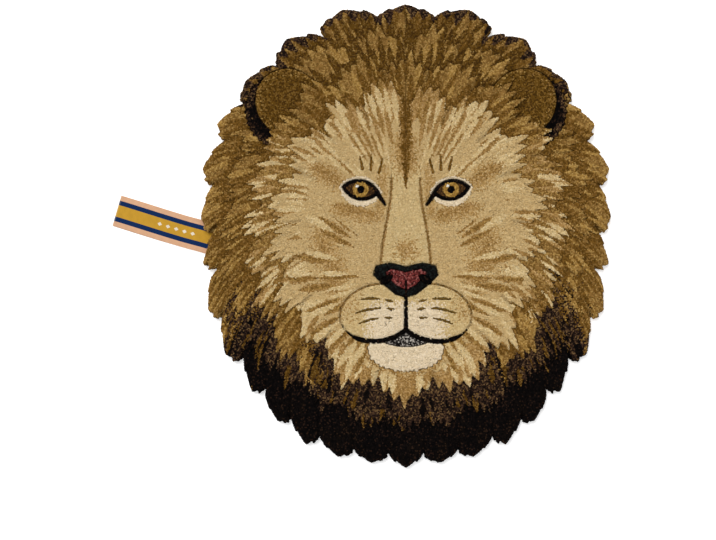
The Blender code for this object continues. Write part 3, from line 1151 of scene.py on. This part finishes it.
def map_tufts(mesh, tufts, here):
    """Lays each tuft out flat round its place on the rug as a star, so that its side has room."""
    corners = np.zeros(len(mesh.loops), int)
    mesh.loops.foreach_get("vertex_index", corners)
    tuft, local = corners // (TUFT_SIDES + 2), corners % (TUFT_SIDES + 2)
    turn = 2 * math.pi * (local - 1) / TUFT_SIDES + tufts.spin[here][tuft]
    bloomed = (local > 0) & (local <= TUFT_SIDES)
    way = np.where(bloomed, [np.cos(turn), np.sin(turn)], 0.0).T
    between = way.reshape(-1, 3, 2).sum(axis=1) / (2 * math.cos(math.pi / TUFT_SIDES))
    star = np.where((local == 0)[:, None], ROOT_ON_MAP * between.repeat(3, axis=0), BLOOM_ON_MAP * way)
    place = tufts.tip[here][tuft, :2] + star
    low, high = place.min(axis=0), place.max(axis=0)
    side = (high - low).max() * 1.01
    uv = (place - (low + high) / 2) / side + 0.5
    mesh.uv_layers.new(name="OFBake").data.foreach_set("uv", uv.astype(np.float32).ravel())


MOST_TUFTS = 200_000 // (2 * TUFT_SIDES) - 10


def pile(tufts, wool):
    """All the pieces of pile. A piece with too many tufts is made in a left and a right half."""
    tree, tuft = pile_tree(), tuft_shape()
    left = tufts.tip[:, 0] < 0
    pieces = []
    for index, name in enumerate(PILE_PIECES):
        here = tufts.piece == index
        parts = {name: here}
        if here.sum() > MOST_TUFTS:
            parts = {name + "_left": here & left, name + "_right": here & ~left}
        for part_name, rows in parts.items():
            pieces.append(grow(part_name, tufts, np.flatnonzero(rows), tree, tuft, wool))
    bpy.data.objects.remove(tuft)
    bpy.data.node_groups.remove(tree)
    return pieces


# ---- The backing ----


def filled(edge, ring, spacing, margin):
    """Points and triangles that fill a ring, by way of a grid this far inside the rug's edge."""
    x, y = hex_grid(RUG_LOW, RUG_HIGH, spacing)
    inner = edge.inset(x, y)[0] > margin
    flat = [*map(tuple, ring), *zip(x[inner].tolist(), y[inner].tolist(), strict=True)]
    found = geometry.delaunay_2d_cdt(flat, [], [list(range(len(ring)))], 1, 1e-7)
    return np.array([tuple(p) for p in found[0]]), found[2]


def label_place():
    """Where the ribbon's sewn-in end lies: its +X runs out along the label."""
    out = math.pi - LABEL_TILT
    start_x = LABEL_EXIT[0] - LABEL_SEWN_IN * math.cos(out)
    start_y = LABEL_EXIT[1] - LABEL_SEWN_IN * math.sin(out)
    return Matrix.Translation((start_x, start_y, 0.0)) @ Matrix.Rotation(out, 4, "Z")


def backing_shape(edge):
    """The dense roots of the pile over the backing cloth: a top, a side and an underside."""
    bm = bmesh.new()
    rows = [[bm.verts.new((*p, height)) for p in edge.drawn_in(inset)]
            for height, inset in BACKING_EDGE]
    ring = edge.drawn_in(BACKING_TOP_INSET)
    places, faces = filled(edge, ring, BACKING_SPACING, BACKING_TOP_INSET + 3 * MM)
    inset, _ = edge.inset(places[:, 0], places[:, 1])
    inset[: len(ring)] = BACKING_TOP_INSET
    plan = drawing(edge, places[:, 0], places[:, 1], np.full(len(places), 0.5))
    heights = root_height(inset, plan.pile * (inset > 10 * MM))
    top = [bm.verts.new((*p, z)) for p, z in zip(places, heights, strict=True)]
    for face in faces:
        bm.faces.new([top[k] for k in face])
    rows.append(top[: len(ring)])
    for lower, upper in zip(rows, rows[1:]):
        for k in range(len(lower)):
            after = (k + 1) % len(lower)
            bm.faces.new((lower[k], lower[after], upper[after], upper[k]))
    base = edge.drawn_in(BACKING_EDGE[0][1])
    places, faces = filled(edge, base, UNDERSIDE_SPACING, UNDERSIDE_SPACING / 2)
    under = rows[0] + [bm.verts.new((*p, 0.0)) for p in places[len(base):]]
    for face in faces:
        bm.faces.new([under[k] for k in reversed(face)])
    bmesh.ops.triangulate(bm, faces=bm.faces)
    bmesh.ops.recalc_face_normals(bm, faces=bm.faces)
    return object_from(bm, "backing")


def recess_cutter():
    """The room that the ribbon's sewn-in end takes under the backing."""
    length = 3 * LABEL_SEWN_IN
    size = (length, RIBBON_WIDTH + 4 * RECESS_CLEAR, 2 * RECESS_HEIGHT)
    bm = bmesh.new()
    bmesh.ops.create_cube(bm, size=1.0)
    bmesh.ops.scale(bm, vec=size, verts=bm.verts)
    bmesh.ops.translate(bm, vec=(length / 2 - RECESS_CLEAR, 0.0, 0.0), verts=bm.verts)
    bm.transform(label_place())
    return object_from(bm, "label_recess")


def colour_roots(mesh, tufts):
    """Gives the roots the yarns of the tufts above them, painted dark as shade deep in the pile."""
    tree = search_tree(tufts.tip[:, :2])
    nearest = [tree.find((v.co.x, v.co.y, 0.0))[1] for v in mesh.vertices]
    yarn = mesh.attributes.new("yarn", "FLOAT_COLOR", "POINT")
    yarn.data.foreach_set("color", tufts.colour[nearest].astype(np.float32).ravel())
    # a low tip makes the wool shader paint the roots in shade
    tip = mesh.attributes.new("tip", "FLOAT", "POINT")
    tip.data.foreach_set("value", np.full(len(mesh.vertices), 0.1, np.float32))


def backing(edge, tufts, wool, cotton):
    made, cutter = backing_shape(edge), recess_cutter()
    cut = made.modifiers.new("label_recess", "BOOLEAN")
    cut.operation, cut.object = "DIFFERENCE", cutter
    plain(made)
    bpy.data.objects.remove(cutter)
    mesh = made.data
    colour_roots(mesh, tufts)
    mesh.materials.clear()
    mesh.materials.append(wool)
    mesh.materials.append(cotton)
    for face in mesh.polygons:
        face.material_index = int(face.normal.z < -0.3 or face.center.z < CANVAS_EDGE)
    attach(made, "root")
    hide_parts("rug")
    return made


# ---- The ribbon label ----


def ribbon_line():
    """The folded ribbon's middle line, seen from the side: along it and up."""
    layer, end = RIBBON_THICKNESS, LABEL_SEWN_IN + LABEL_SHOWN
    low_z = layer / 2 + 0.1 * MM
    radius = 0.85 * MM
    bend_start = end - 9 * MM
    low = [(x, low_z) for x in np.linspace(0, bend_start, 44)]
    middle = end - layer / 2 - radius
    turns = np.radians(np.linspace(-78, 96, 12))
    fold = [(middle + radius * math.cos(t), low_z + radius * (1 + math.sin(t))) for t in turns]
    high = []
    for x in np.linspace(bend_start, 0, 46):
        out = float(ease(LABEL_SEWN_IN, LABEL_SEWN_IN + 25 * MM, x))
        wave = 0.28 * MM * math.sin(x / (15 * MM)) + 0.10 * MM * math.sin(x / (6.1 * MM))
        pressed = float(ease(bend_start - 12 * MM, bend_start, x))
        lifted = 1.05 * MM + 0.45 * MM * out * (1 - pressed)
        high.append((x, low_z + lifted + wave * out * (1 - pressed)))
    return np.array(low + fold + high)


def label(ribbon):
    line = ribbon_line()
    length = run_along(line)
    columns = 13
    across = np.linspace(-0.5, 0.5, columns) * (RIBBON_WIDTH - 0.4 * MM)
    bm = bmesh.new()
    on_map = bm.loops.layers.uv.new("ribbon")
    baked = bm.loops.layers.uv.new("OFBake")
    grid = []
    for (x, z), run in zip(line, length, strict=True):
        out = float(ease(LABEL_SEWN_IN, LABEL_SEWN_IN + 40 * MM, x))
        upper = float(ease(0.47, 0.53, run / length[-1]))
        sway = 0.7 * MM * out * math.sin((x - LABEL_SEWN_IN) / (38 * MM))
        skew = upper * out * 0.5 * MM * math.cos(x / (45 * MM))
        row = []
        for y in across:
            curl = 0.30 * MM * upper * out * (2 * abs(y) / RIBBON_WIDTH) ** 5
            row.append(bm.verts.new((x, y + sway + skew, z - curl)))
        grid.append(row)
    for i in range(len(grid) - 1):
        for j in range(columns - 1):
            corners = ((i, j), (i, j + 1), (i + 1, j + 1), (i + 1, j))
            face = bm.faces.new([grid[a][b] for a, b in corners])
            for loop, (a, b) in zip(face.loops, corners, strict=True):
                loop[on_map].uv = (across[b] + RIBBON_WIDTH / 2, length[a])
                loop[baked].uv = (0.02 + 0.4 * b / (columns - 1), 0.02 + 0.96 * length[a] / length[-1])
    bm.transform(label_place())
    made = object_from(bm, "label_ribbon")
    made.data.materials.append(ribbon)
    thick = made.modifiers.new("thickness", "SOLIDIFY")
    thick.thickness, thick.offset = RIBBON_THICKNESS, 0.0
    plain(made)
    made.data.shade_smooth()
    made.data.set_sharp_from_angle(angle=math.radians(50))
    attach(made, "root")
    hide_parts("label")
    return made, length[-1]


# ---- The room ----

FRAME_PIXELS = (716, 540)
METRES_PER_PIXEL = 1.505 * MM
RUG_MIDDLE_PIXEL = (406, 236)
SENSOR, LENS = 36.0, 100.0
FLOOR_HALF, FLOOR_DROP = 6.0, 0.2 * MM
KEY_STRENGTH, KEY_SOFTNESS, KEY_TILT, KEY_TURN = 2.5, 40, 38, -150  # angles in degrees
WHITE, ROOM_STRENGTH = (1.0, 1.0, 1.0, 1.0), 0.62


def camera():
    """Straight above, so far up that the photo's whole width is seen at the pile's top."""
    data = bpy.data.cameras.new("camera")
    data.sensor_width, data.lens = SENSOR, LENS
    made = new_object("camera", data)
    width, height = FRAME_PIXELS
    x = (width / 2 - RUG_MIDDLE_PIXEL[0]) * METRES_PER_PIXEL
    y = -(height / 2 - RUG_MIDDLE_PIXEL[1]) * METRES_PER_PIXEL
    made.location = (x, y, RUG_HIGH[2] + width * METRES_PER_PIXEL * LENS / SENSOR)
    bpy.context.scene.camera = made


def floor():
    bm = bmesh.new()
    bmesh.ops.create_grid(bm, x_segments=1, y_segments=1, size=FLOOR_HALF)
    bmesh.ops.translate(bm, vec=(0.0, 0.0, -FLOOR_DROP), verts=bm.verts)
    made, nodes = material("floor")
    # The floor glows a little: painted light that fades the rug's shadow on it
    nodes.surface(Base_Color=(0.90, 0.90, 0.90, 1.0), Roughness=0.9,
                  Emission_Color=WHITE, Emission_Strength=0.4)
    sheet = object_from(bm, "floor")
    sheet.data.materials.append(made)


def studio():
    """One large soft light from the upper left, and white light from all round."""
    data = bpy.data.lights.new("key_light", "SUN")
    data.energy, data.angle = KEY_STRENGTH, math.radians(KEY_SOFTNESS)
    key = new_object("key_light", data)
    key.rotation_euler = (math.radians(KEY_TILT), 0.0, math.radians(KEY_TURN))
    world = bpy.data.worlds.new("studio")
    world.use_nodes = True
    room = world.node_tree.nodes["Background"].inputs
    room["Color"].default_value, room["Strength"].default_value = WHITE, ROOM_STRENGTH
    bpy.context.scene.world = world
    bpy.context.scene.view_settings.view_transform = "Standard"


def build():
    camera()
    studio()
    floor()
    edge = Edge()
    tufts = Tufts(edge)
    wool, cotton, ribbon = wool_pile(), canvas(), woven_ribbon()
    pieces = pile(tufts, wool)
    base = backing(edge, tufts, wool, cotton)
    band, band_length = label(ribbon)


build()
